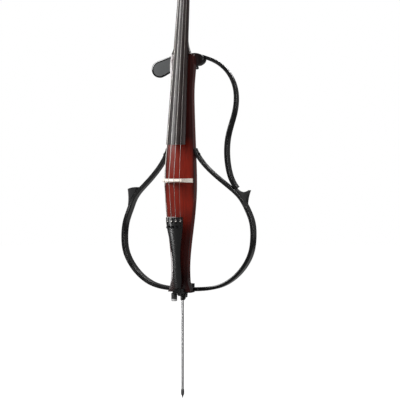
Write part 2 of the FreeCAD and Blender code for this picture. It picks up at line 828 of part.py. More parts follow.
def ribbon(name, line, side, mirror):
    """A flat ribbon that follows one line seen from the front and another seen from the side."""
    body = new_body(name)
    half = size("ribbon_thick") / 2
    line = [(mirror * x, z) for x, z in line]
    outline = new_sketch(body, "XZ_Plane")
    draw_between_splines(outline, offset_line(line, half), offset_line(line, -half))
    pad(body, outline, "260 mm", midplane=True)
    waste = new_sketch(body, "YZ_Plane")
    for sign in (-1, 1):
        near = [(middle + sign * depth, height) for height, middle, depth in side]
        far = [(sign * 140, height) for height, middle, depth in side]
        draw_between_splines(waste, near, far)
    trimmed = pocket(body, waste, "600 mm", midplane=True)
    round_edges(body, trimmed, 2.5, lambda edge: edge.Length > 90)
    return body


# the spurs' outlines, as distance from the middle and height; the bulges are the middles of the arcs
CORNERS = {
    1: {"corners": ((209, 660), (163, 668), (200, 598), (172, 640)),
        "bulges": ((188, 654), (201, 632))},
    -1: {"corners": ((200, 665), (171, 671), (199, 612), (176, 640)),
         "bulges": ((186, 669.5), (197.5, 640))},
}


def make_corner(mirror):
    """The pointed spur outside the place where the bouts meet, from its outline's four corners."""
    body = new_body("Corner")
    sketch = new_sketch(body, "XZ_Plane")
    tip, upper, lower, inner = [V(mirror * x, z, 0) for x, z in CORNERS[mirror]["corners"]]
    over, beside = [V(mirror * x, z, 0) for x, z in CORNERS[mirror]["bulges"]]
    sketch.addGeometry(Part.Arc(tip, over, upper), False)
    sketch.addGeometry(Part.LineSegment(upper, inner), False)
    sketch.addGeometry(Part.LineSegment(inner, lower), False)
    sketch.addGeometry(Part.Arc(lower, beside, tip), False)
    feature = pad(body, sketch, "30 mm", midplane=True)
    body.Placement = Placement(V(0, 44, 0), Rotation())
    return body


def make_frames(pod):
    right = cut("RightFrame", ribbon("RightRibbon", LOWER_LINE, LOWER_SIDE, 1), pod)
    left = cut("LeftFrame", ribbon("LeftRibbon", LOWER_LINE, LOWER_SIDE, -1), pod)
    upper = cut("UpperFrame", ribbon("UpperRibbon", UPPER_LINE, UPPER_SIDE, 1), right)
    keep(right, "right_frame")
    keep(left, "left_frame")
    keep(upper, "upper_frame")
    spurs = group("Spurs", [make_corner(1), make_corner(-1)])
    keep(cut("CornerBlocks", spurs, fuse("Frames", [right, left, upper])), "corner_blocks")
    return right, left, upper


def make_yoke(pod, right, left, socket):
    """The block behind the body's foot that joins both lower frames."""
    stock = new_body("YokeStock")
    sketch = new_sketch(stock, "XY_Plane", 334)
    draw_box(sketch, -22, 10, 22, 60)
    block = pad(stock, sketch, "28 mm")
    round_edges(stock, block, 9, lambda edge: edge.Length < 28.1 and edge.Length > 27.9)
    used = fuse("YokeUsed", [pod, right, left, socket])
    keep(cut("Yoke", stock, used), "frame_yoke")


BRACKET_KNOB = (29, 48)  # where the hand screw of the bracket stands


def make_bracket(pod, upper):
    body = new_body("BracketStock")
    sketch = new_sketch(body, "XZ_Plane")
    x, y = BRACKET_KNOB
    rim = [(20, 1097), (38, 1096.5), (52, 1091), (60, 1082), (60.5, 1073), (54, 1064), (42, 1058)]
    sketch.addGeometry(spline(rim), False)
    for one, other in ((rim[-1], (20, 1058)), ((20, 1058), rim[0])):
        sketch.addGeometry(Part.LineSegment(V(*one, 0), V(*other, 0)), False)
    block = pad(body, sketch, "30 mm", midplane=True)
    round_edges(body, block, 3, lambda edge: edge.Length > 70)
    body.Placement = Placement(V(0, 42, 0), Rotation())
    hole = cylinder("BracketThread", (x, y, 1050), (0, 0, 1), "2.5 + Sizes.run_gap", "24 mm")
    used = fuse("BracketUsed", [pod, upper, hole])
    keep(cut("Bracket", body, used), "shoulder_bracket")
    knob = turned_body("BracketKnob", [(0, -11), (6.5, -11), (8, -9.5), (8, -3), (5, -0.6), (2.5, -0.6),
                                       (2.5, 14), (0, 14)])
    knob.Placement = Placement(V(x, y, 1058), Rotation())
    keep(knob, "bracket_knob")


def make_bolts():
    """A button-headed bolt through the end of each lower frame into the body's side."""
    bolts = []
    for sign in (-1, 1):
        bolt = turned_body("Bolt", [(0, -1), (4, -1), (4, 0.8), (2.8, 2), (0, 2)])
        bolt.Placement = Placement(V(sign * 59.5, -8, 775), Rotation(V(0, 0, 1), V(sign * 0.87, 0, 0.5)))
        bolts.append(bolt)
    return bolts


# ---- chest support ----

CHEST_PIVOT = (-12, 1084)
CHEST_END = (-95, 1050.5)
CHEST_RADIUS = 27
CHEST_HUB = 21


def draw_paddle(sketch, radius, hub):
    """The outline of a bar with a large round end and a round hub."""
    (px, pz), (ex, ez) = CHEST_PIVOT, CHEST_END
    far = math.hypot(px - ex, pz - ez)
    ux = (px - ex) / far
    uz = (pz - ez) / far
    ends = []
    for side in (-1, 1):
        a = V(ex - side * uz * radius, ez + side * ux * radius, 0)
        b = V(px - side * uz * hub, pz + side * ux * hub, 0)
        ends.append((a, b))
        sketch.addGeometry(Part.LineSegment(a, b), False)
    sketch.addGeometry(Part.Arc(ends[0][0], V(ex - ux * radius, ez - uz * radius, 0), ends[1][0]), False)
    sketch.addGeometry(Part.Arc(ends[0][1], V(px + ux * hub, pz + uz * hub, 0), ends[1][1]), False)


def paddle(name, depth, place):
    """A bar with round ends from the pivot to the padded end, with a shallow tray in its front."""
    body = new_body(name)
    outline = new_sketch(body, "XZ_Plane")
    draw_paddle(outline, CHEST_RADIUS, CHEST_HUB)
    pad(body, outline, f"{depth} mm", reversed_=True)
    tray = new_sketch(body, "XZ_Plane")
    draw_paddle(tray, CHEST_RADIUS - 4.5, CHEST_HUB - 4.5)
    plate = pocket(body, tray, "1.4 mm")
    body.Placement = Placement(V(0, place, 0), Rotation())
    return body, plate


def make_chest_support():
    arm, plate = paddle("ChestArm", 7, 43.4)
    round_edges(arm, plate, 1, lambda edge: abs(edge.CenterOfMass.y) < 0.1)
    hole = new_sketch(arm, "XZ_Plane", 20)
    draw_circle(hole, CHEST_PIVOT[0], CHEST_PIVOT[1], 5 + size("run_gap"))
    pocket(arm, hole, "60 mm")
    keep(arm, "chest_arm")
    pad_body = new_body("ChestPad")
    sketch = new_sketch(pad_body, "XZ_Plane")
    sketch.addGeometry(Part.Circle(V(CHEST_END[0] + 4, CHEST_END[1] + 1.5, 0), V(0, 0, 1), 25), False)
    feature = pad(pad_body, sketch, "18 mm", reversed_=True)
    round_edges(pad_body, feature, 6, lambda edge: edge.CenterOfMass.y > 10)
    pad_body.Placement = Placement(V(0, 50.4, 0), Rotation())
    keep(pad_body, "chest_pad")
    pin = turned_body("ChestPin", [(0, 0), (5, 0), (5, 17.6), (9, 17.6), (9, 19.6), (7, 21.6), (0, 21.6)])
    pin.Placement = Placement(V(CHEST_PIVOT[0], 33.2, CHEST_PIVOT[1]), Rotation(V(0, 0, 1), V(0, 1, 0)))
    return pin


# ---- electronics ----

KNOB_LEVELS = {"volume_knob": 925, "tone_knob": 895}
SWITCH_LEVEL = 868
LINE_JACK = 838
PHONE_JACK = 815


def make_control_plate():
    body = new_body("ControlPlate")
    sketch = new_sketch(body, "XZ_Plane")
    draw_box(sketch, -size("plate_half"), size("plate_low"), size("plate_half"), size("plate_high"))
    pad(body, sketch, "3 mm", reversed_=False)
    holes = new_sketch(body, "XZ_Plane", -5)
    for level in KNOB_LEVELS.values():
        draw_circle(holes, 0, level, 3 + size("run_gap"))
    draw_circle(holes, 0, LINE_JACK, 5.5)
    draw_circle(holes, 0, PHONE_JACK, 4)
    draw_box(holes, -2.5, SWITCH_LEVEL - 6, 2.5, SWITCH_LEVEL + 6)
    for x in (-12, 12):
        for level in (size("plate_low") + 6, size("plate_high") - 6):
            draw_circle(holes, x, level, 1.5)
    pocket(body, holes, "20 mm", reversed_=True)
    body.Placement = Placement(V(0, size("plate_level"), 0), Rotation())
    keep(body, "control_plate")


def make_plate_screws():
    screws = []
    for x in (-12, 12):
        for level in (size("plate_low") + 6, size("plate_high") - 6):
            screw = turned_body("PlateScrew", [(0, -8), (1.5, -8), (1.5, 0), (2.8, 0), (2.4, 1.2), (0, 1.6)])
            place = V(x, size("plate_level"), level)
            screw.Placement = Placement(place, Rotation(V(0, 0, 1), V(0, 1, 0)))
            screws.append(screw)
    keep(group("PlateScrews", screws), "plate_screws")


def make_jack(label, level, outer, bore, length):
    """A socket with a round bore that opens to the back."""
    body = turned_body("Jack", [(bore, -length), (outer, -length), (outer, 0), (outer + 1.6, 0),
                                (outer + 1.6, 1.6), (bore, 1.6)])
    cap = cylinder("JackEnd", (0, 0, -length - 2), (0, 0, 1), f"{outer} mm", "2 mm")
    whole = fuse("JackWhole", [body, cap])
    whole.Placement = Placement(V(0, size("plate_level"), level), Rotation(V(0, 0, 1), V(0, 1, 0)))
    keep(whole, label)


def make_knob(label, level):
    """A fluted knob on a shaft that passes through the control plate."""
    knob = turned_body("Knob", [(0, -9), (3, -9), (3, 0.6), (8, 0.6), (8.5, 1.4), (8, 9), (7, 10), (0, 10)])
    notch = new_sketch(knob, "XY_Plane", 12)
    draw_circle(notch, 9.3, 0, 1.3)
    flute = pocket(knob, notch, "13 mm")
    pattern = knob.newObject("PartDesign::PolarPattern", "Flutes")
    pattern.Originals = [flute]
    pattern.Axis = (notch, ["N_Axis"])
    pattern.Angle = 360
    pattern.Occurrences = 14
    knob.Tip = pattern
    knob.Placement = Placement(V(0, size("plate_level"), level), Rotation(V(0, 0, 1), V(0, 1, 0)))
    keep(knob, label)


def make_switch():
    level = size("plate_level")
    keep(box("Switch", (-2, level - 8, SWITCH_LEVEL - 3), (2, level + 2.5, SWITCH_LEVEL + 3)), "power_switch")


def make_circuit():
    """The board behind the control plate, with its chips and the two control bodies."""
    low = size("plate_low") + 2
    high = size("plate_high") - 2
    parts = [box("Board", (-14, 6, low), (14, 7.6, high))]
    for x, level in ((-6, 945), (5, 940), (-7, 855), (6, 880)):
        parts.append(box("Chip", (x - 4, 7.6, level - 4), (x + 4, 10.2, level + 4)))
    for level in KNOB_LEVELS.values():
        parts.append(box("Control", (-8, 7.6, level - 8), (8, 27.6, level + 8)))
    keep(fuse("Circuit", parts), "circuit_board")


def make_battery():
    low = size("door_low") + 6
    cells = []
    for x in (-7.5, 7.5):
        cell = cylinder("Cell", (x, 18.5, low), (0, 0, 1), "Sizes.cell_radius", "Sizes.cell_length")
        nub = cylinder("Nub", (x, 18.5, low + 50.5), (0, 0, 1), "2.7 mm", "1.2 mm")
        cells.append(fuse("CellWhole", [cell, nub]))
    keep(group("Cells", cells), "battery_cells")
    level = size("door_level")
    gap = size("side_gap")
    half = size("door_half") - gap
    low = size("door_low") + gap
    high = size("door_high") - gap
    plate = box("DoorPlate", (-half, level - 2.5, low), (half, level, high))
    barrel = cylinder("DoorBarrel", (-half, level + 1.4, low + 0.4), (1, 0, 0), "1.2 mm", f"{2 * half} mm")
    ramp = box("DoorRamp", (-half, level - 1, low), (half, level + 1.4, low + 1.6))
    keep(fuse("Door", [plate, ramp, barrel]), "battery_door")


def check_and_write():
    doc.recompute()
    faults = []
    for item in doc.Objects:
        if any(word in str(item.State) for word in ("Invalid", "Error")):
            faults.append(f"{item.Name} ({item.Label}): {item.State}")
    labels = [item.Label for item in SUB_PARTS]
    if len(set(labels)) != len(labels):
        faults.append("two sub-parts share a label")
    for item in SUB_PARTS:
        shape = item.Shape
        if shape.isNull() or not shape.isValid() or not shape.Solids:
            faults.append(f"{item.Label}: no valid solid")
    if faults:
        raise RuntimeError("\n".join(faults))
    os.makedirs("parts", exist_ok=True)
    for item in SUB_PARTS:
        item.Shape.exportStep(f"parts/{item.Label}.step")
    print(len(SUB_PARTS), "sub-parts written")


def build():
    pod = body_loft("Pod", 0)
    hollow = body_loft("Hollow", size("shell_wall"))
    zone = front_zone()
    bridge = make_bridge(pod)
    pickup = make_pickup()
    keep(pickup, "bridge_pickup")
    strings = group("Strings", [make_string(name) for name in STRING_ORDER])
    keep(cut("Bridge", bridge, group("BridgeUsed", [pickup, strings])), "bridge")
    make_body(pod, zone, hollow, pickup)
    make_blocks(hollow, zone)
    make_fingerboard()
    make_neck(pod)
    pegbox = make_pegbox()
    keep(cut("GroovedNut", make_nut(), group("NutUsed", [pegbox, strings])), "nut")
    for name in STRING_ORDER:
        make_peg(name)
        make_lever(name)
        make_fine_screw(name)
    make_tailpiece()
    make_axle()
    cord = make_tail_cord()
    make_saddle(pod, cord)
    socket = make_socket(cord)
    make_endpin()
    make_yoke_knobs()
    right, left, upper = make_frames(pod)
    make_yoke(pod, right, left, socket)
    make_bracket(pod, upper)
    pin = make_chest_support()
    keep(cut("Bolts", group("BoltStock", make_bolts() + [pin]), pod), "frame_bolts")
    make_control_plate()
    make_plate_screws()
    make_jack("line_out_jack", LINE_JACK, 5.5, 3.2, 18)
    make_jack("headphone_jack", PHONE_JACK, 4, 1.8, 13)
    for label, level in KNOB_LEVELS.items():
        make_knob(label, level)
    make_switch()
    make_circuit()
    make_battery()
    check_and_write()


build()
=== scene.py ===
import math

import bmesh
import bpy
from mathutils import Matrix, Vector


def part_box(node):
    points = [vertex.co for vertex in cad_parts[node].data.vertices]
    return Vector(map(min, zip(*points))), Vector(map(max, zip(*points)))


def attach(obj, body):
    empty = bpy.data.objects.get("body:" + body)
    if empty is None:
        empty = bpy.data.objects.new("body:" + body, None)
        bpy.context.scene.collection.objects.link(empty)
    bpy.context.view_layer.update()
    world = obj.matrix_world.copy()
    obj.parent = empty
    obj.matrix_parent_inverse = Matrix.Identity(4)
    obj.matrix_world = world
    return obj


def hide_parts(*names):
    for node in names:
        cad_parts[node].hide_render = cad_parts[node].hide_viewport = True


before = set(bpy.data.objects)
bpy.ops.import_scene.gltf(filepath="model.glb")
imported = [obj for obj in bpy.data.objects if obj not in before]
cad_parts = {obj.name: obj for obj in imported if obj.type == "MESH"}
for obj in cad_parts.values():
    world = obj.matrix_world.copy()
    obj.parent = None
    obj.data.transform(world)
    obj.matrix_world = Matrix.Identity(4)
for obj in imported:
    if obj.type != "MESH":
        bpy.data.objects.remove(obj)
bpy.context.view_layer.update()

# ---- the camera ----

AZIMUTH = math.radians(19)      # the camera stands this far round towards +X
DISTANCE = 4.1
VIEW_HEIGHT = 1.268             # height of the picture at the object
LOOK_LEVEL = 0.629
LOOK_ASIDE = 0.055              # the picture's centre lies to the right of the endpin
SENSOR = 36                     # in millimetres


def make_camera():
    """The camera looks level at the instrument, from a little round to its right."""
    data = bpy.data.cameras.new("camera")
    camera = bpy.data.objects.new("camera", data)
    bpy.context.collection.objects.link(camera)
    data.sensor_width = SENSOR
    data.lens = SENSOR * DISTANCE / VIEW_HEIGHT
    right = Vector((math.cos(AZIMUTH), math.sin(AZIMUTH), 0))
    back = Vector((math.sin(AZIMUTH), -math.cos(AZIMUTH), 0))
    camera.location = right * LOOK_ASIDE + Vector((0, 0, LOOK_LEVEL)) + back * DISTANCE
    camera.rotation_euler = (math.radians(90), 0, AZIMUTH)
    bpy.context.scene.camera = camera


# ---- shader helpers ----

NOISE_RANGE = (0.3, 0.7)        # most of a noise texture's values lie in here


class Nodes:
    """A small builder for one material's node tree."""

    def __init__(self, name):
        self.material = bpy.data.materials.new(name)
        self.material.use_nodes = True
        self.tree = self.material.node_tree
        self.shader = self.tree.nodes["Principled BSDF"]
        self.place = self.add("ShaderNodeTexCoord").outputs["Object"]

    def add(self, kind, **settings):
        node = self.tree.nodes.new(kind)
        for key, value in settings.items():
            setattr(node, key, value)
        return node

    def link(self, source, target):
        self.tree.links.new(source, target)

    def scaled(self, x, y, z):
        """Object coordinates stretched by a factor along each axis."""
        node = self.add("ShaderNodeMapping")
        node.inputs["Scale"].default_value = (x, y, z)
        self.link(self.place, node.inputs["Vector"])
        return node.outputs["Vector"]

    def noise(self, scale, vector=None, detail=4.0, rough=0.55, distort=0.0):
        node = self.add("ShaderNodeTexNoise")
        node.inputs["Scale"].default_value = scale
        node.inputs["Detail"].default_value = detail
        node.inputs["Roughness"].default_value = rough
        node.inputs["Distortion"].default_value = distort
        self.link(vector or self.place, node.inputs["Vector"])
        return node.outputs["Fac"]

    def ramp(self, value, stops):
        node = self.add("ShaderNodeValToRGB")
        ramp = node.color_ramp
        while len(ramp.elements) < len(stops):
            ramp.elements.new(0.5)
        for element, (position, colour) in zip(ramp.elements, stops):
            element.position = position
            element.color = (*colour, 1)
        self.link(value, node.inputs["Fac"])
        return node.outputs["Color"]

    def math(self, operation, one, other=0.5, clamp=False):
        node = self.add("ShaderNodeMath", operation=operation, use_clamp=clamp)
        for socket, value in zip(node.inputs, (one, other)):
            if isinstance(value, (int, float)):
                socket.default_value = value
            else:
                self.link(value, socket)
        return node.outputs["Value"]

    def map_range(self, value, low, high, to_low, to_high):
        node = self.add("ShaderNodeMapRange")
        for name, number in (("From Min", low), ("From Max", high),
                             ("To Min", to_low), ("To Max", to_high)):
            node.inputs[name].default_value = number
        self.link(value, node.inputs["Value"])
        return node.outputs["Result"]

    def fade(self, value, span):
        """0 at the first end of the span, 1 at the other."""
        return self.map_range(value, *span, 0, 1)

    def vary(self, noise, low, high):
        """A noise's usual range spread from low to high."""
        return self.map_range(noise, *NOISE_RANGE, low, high)

    def waver(self, value, noise, reach):
        """The value moved up and down by a noise."""
        return self.math("ADD", value, self.vary(noise, -reach, reach))

    def mix(self, amount, one, other, mode="MIX"):
        node = self.add("ShaderNodeMix", data_type="RGBA", blend_type=mode)
        for name, value in (("Factor", amount), ("A", one), ("B", other)):
            socket = [s for s in node.inputs if s.name == name and s.enabled][0]
            if isinstance(value, (int, float)):
                socket.default_value = value
            elif isinstance(value, tuple):
                socket.default_value = (*value, 1)
            else:
                self.link(value, socket)
        return [s for s in node.outputs if s.enabled][0]

    def axis(self, name):
        node = self.add("ShaderNodeSeparateXYZ")
        self.link(self.place, node.inputs["Vector"])
        return node.outputs[name]

    def bump(self, height, strength, distance=0.0005):
        node = self.add("ShaderNodeBump")
        node.inputs["Strength"].default_value = strength
        node.inputs["Distance"].default_value = distance
        self.link(height, node.inputs["Height"])
        return node.outputs["Normal"]

    def finish(self, colour=None, rough=None, normal=None, **constants):
        if colour:
            self.link(colour, self.shader.inputs["Base Color"])
        if rough:
            self.link(rough, self.shader.inputs["Roughness"])
        if normal:
            self.link(normal, self.shader.inputs["Normal"])
        for name, number in constants.items():
            self.shader.inputs[name.replace("_", " ")].default_value = number
        return self.material


# ---- where the colours change, in metres ----

# the body front's half width at its foot, its widest place and its shoulder
FOOT_LEVEL, FOOT_HALF = 0.40, 0.0275
WIDEST_LEVEL, WIDEST_HALF = 0.62, 0.0485
SHOULDER_LEVEL, SHOULDER_HALF = 0.985, 0.0365
BURST_REACH = 1.06              # the sunburst is black at this share of the half width
BURST_WAVER = 0.06              # and its edge wavers by this share
TOP_FADE = (0.79, 0.83)         # levels over which the front darkens towards the neck
LOW_FADE = (0.62, 0.50)         # and towards the foot
FOOT_FADE = (0.43, 0.385)       # where the foot turns black
BACK_FADE = (-0.004, 0.026)     # depths over which the sides darken towards the back
BACK_WAVER = 0.004
SHELL_FOOT_FADE = (0.46, 0.36)
BRACKET_FADE = (0.036, 0.056)   # distance to the right of the neck's middle
TRAY_LEVEL = 0.0448             # depth of the tray's floor in the chest arm
KNOB_TIP_FADE = (0.3165, 0.3155)
KNOB_TIP_WAVER = 0.0006
JACK_BORE_FADE = (0.0378, 0.0374)
CELL_COPPER_FADE = (0.5770, 0.5774)
CELL_END_FADE = (0.5912, 0.5915)
CELL_WAVER = 0.0002


# ---- materials ----

def wood_streaks(nodes, fine):
    """Long fibres up the instrument."""
    return nodes.noise(fine, nodes.scaled(1, 1, 0.035), detail=6, rough=0.62, distort=0.3)


def lacquer(name, middle, rim, ends, tips, gloss):
    """Stained wood under a clear gloss coat, dark at its edges and its ends."""
    nodes = Nodes(name)
    level = nodes.axis("Z")
    upper = nodes.map_range(level, WIDEST_LEVEL, SHOULDER_LEVEL, WIDEST_HALF, SHOULDER_HALF)
    lower = nodes.map_range(level, FOOT_LEVEL, WIDEST_LEVEL, FOOT_HALF, WIDEST_HALF)
    half = nodes.math("MINIMUM", upper, lower)
    aside = nodes.math("ABSOLUTE", nodes.axis("X"))
    across = nodes.math("DIVIDE", aside, nodes.math("MULTIPLY", half, BURST_REACH))
    cloud = nodes.noise(9, nodes.scaled(1, 1, 0.3), detail=2)
    edge = nodes.waver(across, cloud, BURST_WAVER)
    burst = nodes.ramp(edge, ((0.0, middle), (0.74, middle), (0.92, rim), (1.0, ends)))
    colour = nodes.mix(nodes.fade(level, TOP_FADE), burst, tips)
    colour = nodes.mix(nodes.fade(level, LOW_FADE), colour, tips)
    colour = nodes.mix(nodes.fade(level, FOOT_FADE), colour, ends)
    grain = wood_streaks(nodes, 260)
    streak = nodes.ramp(grain, ((0.35, (0.62, 0.58, 0.56)), (0.62, (1.12, 1.08, 1.05))))
    colour = nodes.mix(0.75, colour, streak, "MULTIPLY")
    settled = nodes.noise(70, detail=2)
    rough = nodes.vary(settled, gloss, gloss + 0.06)
    return nodes.finish(colour, rough, nodes.bump(grain, 0.05), Specular_IOR_Level=0.2,
                        Coat_Weight=0.5, Coat_Roughness=0.05)


def plain_lacquer(name, dark, light, gloss, coat=0.3):
    """Dark stained wood under a gloss coat."""
    nodes = Nodes(name)
    grain = wood_streaks(nodes, 240)
    colour = nodes.ramp(grain, ((0.3, dark), (0.7, light)))
    settled = nodes.noise(60, detail=3)
    rough = nodes.vary(settled, gloss, gloss + 0.08)
    return nodes.finish(colour, rough, nodes.bump(grain, 0.06), Specular_IOR_Level=0.3,
                        Coat_Weight=coat, Coat_Roughness=0.06)


def shell_lacquer(front, back, gloss):
    """The body's sides and back: red-brown beside the front plate, near black behind."""
    nodes = Nodes("shell_lacquer")
    depth = nodes.waver(nodes.axis("Y"), nodes.noise(8), BACK_WAVER)
    behind = nodes.fade(depth, BACK_FADE)
    foot = nodes.fade(nodes.axis("Z"), SHELL_FOOT_FADE)
    colour = nodes.mix(nodes.math("MAXIMUM", behind, foot), front, back)
    grain = wood_streaks(nodes, 240)
    streak = nodes.ramp(grain, ((0.35, (0.7, 0.68, 0.66)), (0.62, (1.1, 1.08, 1.05))))
    colour = nodes.mix(0.7, colour, streak, "MULTIPLY")
    rough = nodes.vary(nodes.noise(60, detail=3), gloss, gloss + 0.08)
    return nodes.finish(colour, rough, nodes.bump(grain, 0.05), Specular_IOR_Level=0.2,
                        Coat_Weight=0.35, Coat_Roughness=0.05)


def ebony(name="ebony"):
    """Oiled black wood with open pores and brown streaks."""
    nodes = Nodes(name)
    grain = wood_streaks(nodes, 420)
    colour = nodes.ramp(grain, ((0.3, (0.006, 0.004, 0.004)), (0.6, (0.016, 0.009, 0.008)),
                                (0.8, (0.034, 0.019, 0.015))))
    pores = nodes.noise(1800, nodes.scaled(1, 1, 0.05), detail=2)
    rough = nodes.vary(nodes.noise(45, detail=3), 0.30, 0.46)
    normal = nodes.bump(pores, 0.25, 0.0002)
    return nodes.finish(colour, rough, normal, Specular_IOR_Level=0.32)


def maple():
    """Bare pale maple with short dark flecks."""
    nodes = Nodes("bridge_maple")
    fleck = nodes.noise(900, nodes.scaled(0.25, 1, 1), detail=3)
    broad = nodes.noise(40, detail=2)
    colour = nodes.ramp(broad, ((0.3, (0.90, 0.82, 0.72)), (0.7, (0.96, 0.91, 0.84))))
    flecks = nodes.ramp(fleck, ((0.36, (0.45, 0.36, 0.28)), (0.46, (1, 1, 1))))
    colour = nodes.mix(0.7, colour, flecks, "MULTIPLY")
    rough = nodes.vary(fleck, 0.62, 0.48)
    return nodes.finish(colour, rough, nodes.bump(fleck, 0.2, 0.0002))


def bare_wood():
    """Unfinished wood of the blocks inside the body."""
    nodes = Nodes("block_wood")
    grain = wood_streaks(nodes, 200)
    colour = nodes.ramp(grain, ((0.3, (0.38, 0.24, 0.11)), (0.7, (0.62, 0.44, 0.24))))
    rough = nodes.map_range(grain, 0, 1, 0.75, 0.6)
    return nodes.finish(colour, rough, nodes.bump(grain, 0.3))


def gloss_black(name, tone=0.003, rough_low=0.12):
    """Gloss black coating with orange peel and rubbed patches."""
    nodes = Nodes(name)
    patch = nodes.noise(18, detail=5)
    light = (tone * 1.9, tone * 1.85, tone * 1.9)
    colour = nodes.ramp(patch, ((0.35, (tone, tone, tone * 1.05)), (0.75, light)))
    rough = nodes.map_range(nodes.noise(35, detail=6), 0.3, 0.75, rough_low, rough_low + 0.14)
    peel = nodes.bump(nodes.noise(180, detail=1), 0.04, 0.0002)
    return nodes.finish(colour, rough, peel, Specular_IOR_Level=0.35, Coat_Weight=0.15,
                        Coat_Roughness=0.08)


def bracket_coat():
    """Satin black with a warm brown bloom towards the body."""
    nodes = Nodes("bracket_coat")
    away = nodes.fade(nodes.axis("X"), BRACKET_FADE)
    colour = nodes.mix(away, (0.030, 0.016, 0.016), (0.004, 0.003, 0.003))
    speck = nodes.noise(300, detail=3)
    rough = nodes.vary(speck, 0.3, 0.42)
    return nodes.finish(colour, rough, nodes.bump(speck, 0.1, 0.0002))


def arm_black_with_painted_tray_reflection():
    """Black rim round the tray, and a grey painted reflection on the tray's floor, told apart by
    their depth.
    """
    nodes = Nodes("arm_black_with_painted_tray_reflection")
    depth = nodes.axis("Y")
    inner = nodes.fade(depth, (TRAY_LEVEL - 0.0002, TRAY_LEVEL + 0.0001))
    behind = nodes.fade(depth, (TRAY_LEVEL + 0.0006, TRAY_LEVEL + 0.0003))
    floor = nodes.math("MULTIPLY", inner, behind, clamp=True)
    cloud = nodes.noise(25, detail=3)
    # painted reflection: the grey on the tray's floor stands in for the room mirrored in the black
    # plastic
    painted_reflection_grey = nodes.ramp(cloud, ((0.3, (0.026, 0.030, 0.032)), (0.7, (0.042, 0.047, 0.049))))
    colour = nodes.mix(floor, (0.004, 0.004, 0.004), painted_reflection_grey)
    speck = nodes.noise(1400, detail=2)
    rough = nodes.map_range(floor, 0, 1, 0.22, 0.55)
    return nodes.finish(colour, rough, nodes.bump(speck, 0.3, 0.0002), Specular_IOR_Level=0.4)


def knob_coat():
    """Black grip above, pale rubber-tipped end below."""
    nodes = Nodes("knob_coat")
    level = nodes.axis("Z")
    worn = nodes.waver(level, nodes.noise(260), KNOB_TIP_WAVER)
    colour = nodes.mix(nodes.fade(worn, KNOB_TIP_FADE), (0.006, 0.006, 0.006), (0.36, 0.36, 0.36))
    speck = nodes.noise(900, detail=2)
    return nodes.finish(colour, nodes.vary(speck, 0.35, 0.5), nodes.bump(speck, 0.3, 0.0002))


def jack_metal():
    """Bright rim, dark inside the bore."""
    nodes = Nodes("jack_metal")
    inside = nodes.fade(nodes.axis("Y"), JACK_BORE_FADE)
    lines = nodes.noise(500, detail=3)
    rim = nodes.ramp(lines, ((0.3, (0.55, 0.55, 0.56)), (0.7, (0.75, 0.75, 0.76))))
    colour = nodes.mix(inside, rim, (0.004, 0.004, 0.004))
    rough = nodes.map_range(inside, 0, 1, 0.16, 0.7)
    return nodes.finish(colour, rough, nodes.bump(lines, 0.08, 0.0001), Metallic=1.0)


def cell_jacket():
    """Plain black sleeve, copper-coloured shoulder and a plain steel end."""
    nodes = Nodes("cell_jacket")
    scuffs = nodes.noise(320, nodes.scaled(1, 1, 0.2), detail=4)
    level = nodes.waver(nodes.axis("Z"), scuffs, CELL_WAVER)
    sleeve = nodes.ramp(scuffs, ((0.3, (0.008, 0.008, 0.009)), (0.75, (0.022, 0.022, 0.024))))
    copper = nodes.ramp(scuffs, ((0.3, (0.42, 0.19, 0.07)), (0.7, (0.60, 0.30, 0.12))))
    colour = nodes.mix(nodes.fade(level, CELL_COPPER_FADE), sleeve, copper)
    colour = nodes.mix(nodes.fade(level, CELL_END_FADE), colour, (0.5, 0.5, 0.5))
    return nodes.finish(colour, nodes.vary(scuffs, 0.25, 0.4), nodes.bump(scuffs, 0.05, 0.0001))


def moulded(name, tone, rough=0.42, tint=(1, 1, 1)):
    """Fine-textured moulded plastic."""
    nodes = Nodes(name)
    speck = nodes.noise(1400, detail=2)
    cloud = nodes.noise(25, detail=3)
    dark = tuple(tone * t * 0.85 for t in tint)
    light = tuple(tone * t * 1.2 for t in tint)
    colour = nodes.ramp(cloud, ((0.3, dark), (0.7, light)))
    roughness = nodes.vary(cloud, rough, rough + 0.12)
    return nodes.finish(colour, roughness, nodes.bump(speck, 0.35, 0.0002))


def metal(name, dark, light, rough, brushed=(1, 1, 0.03), scale=500):
    """Metal with draw lines along one axis."""
    nodes = Nodes(name)
    lines = nodes.noise(scale, nodes.scaled(*brushed), detail=4)
    colour = nodes.ramp(lines, ((0.3, dark), (0.7, light)))
    roughness = nodes.vary(nodes.noise(30, detail=4), rough, rough + 0.12)
    return nodes.finish(colour, roughness, nodes.bump(lines, 0.12, 0.0001), Metallic=1.0)


def wound_string(name, tone):
    """Flat metal ribbon wound round the string: fine rings along its length, with painted shade
    between the turns.
    """
    nodes = Nodes(name)
    wave = nodes.add("ShaderNodeTexWave", wave_type="BANDS", bands_direction="Z")
    wave.inputs["Scale"].default_value = 320
    nodes.link(nodes.place, wave.inputs["Vector"])
    rings = wave.outputs["Fac"]
    tarnish = nodes.noise(14, detail=4)
    bright = tuple(tone * c for c in (1.0, 0.97, 0.94))
    dull = tuple(tone * 0.7 * c for c in (1.0, 0.94, 0.86))
    colour = nodes.ramp(tarnish, ((0.35, bright), (0.7, dull)))
    # painted shade: darker bands between the turns of the winding
    painted_groove_shade = nodes.ramp(rings, ((0.0, (0.7, 0.7, 0.7)), (0.5, (1, 1, 1))))
    colour = nodes.mix(0.5, colour, painted_groove_shade, "MULTIPLY")
    return nodes.finish(colour, None, nodes.bump(rings, 0.3, 0.0001), Metallic=0.9, Roughness=0.38)


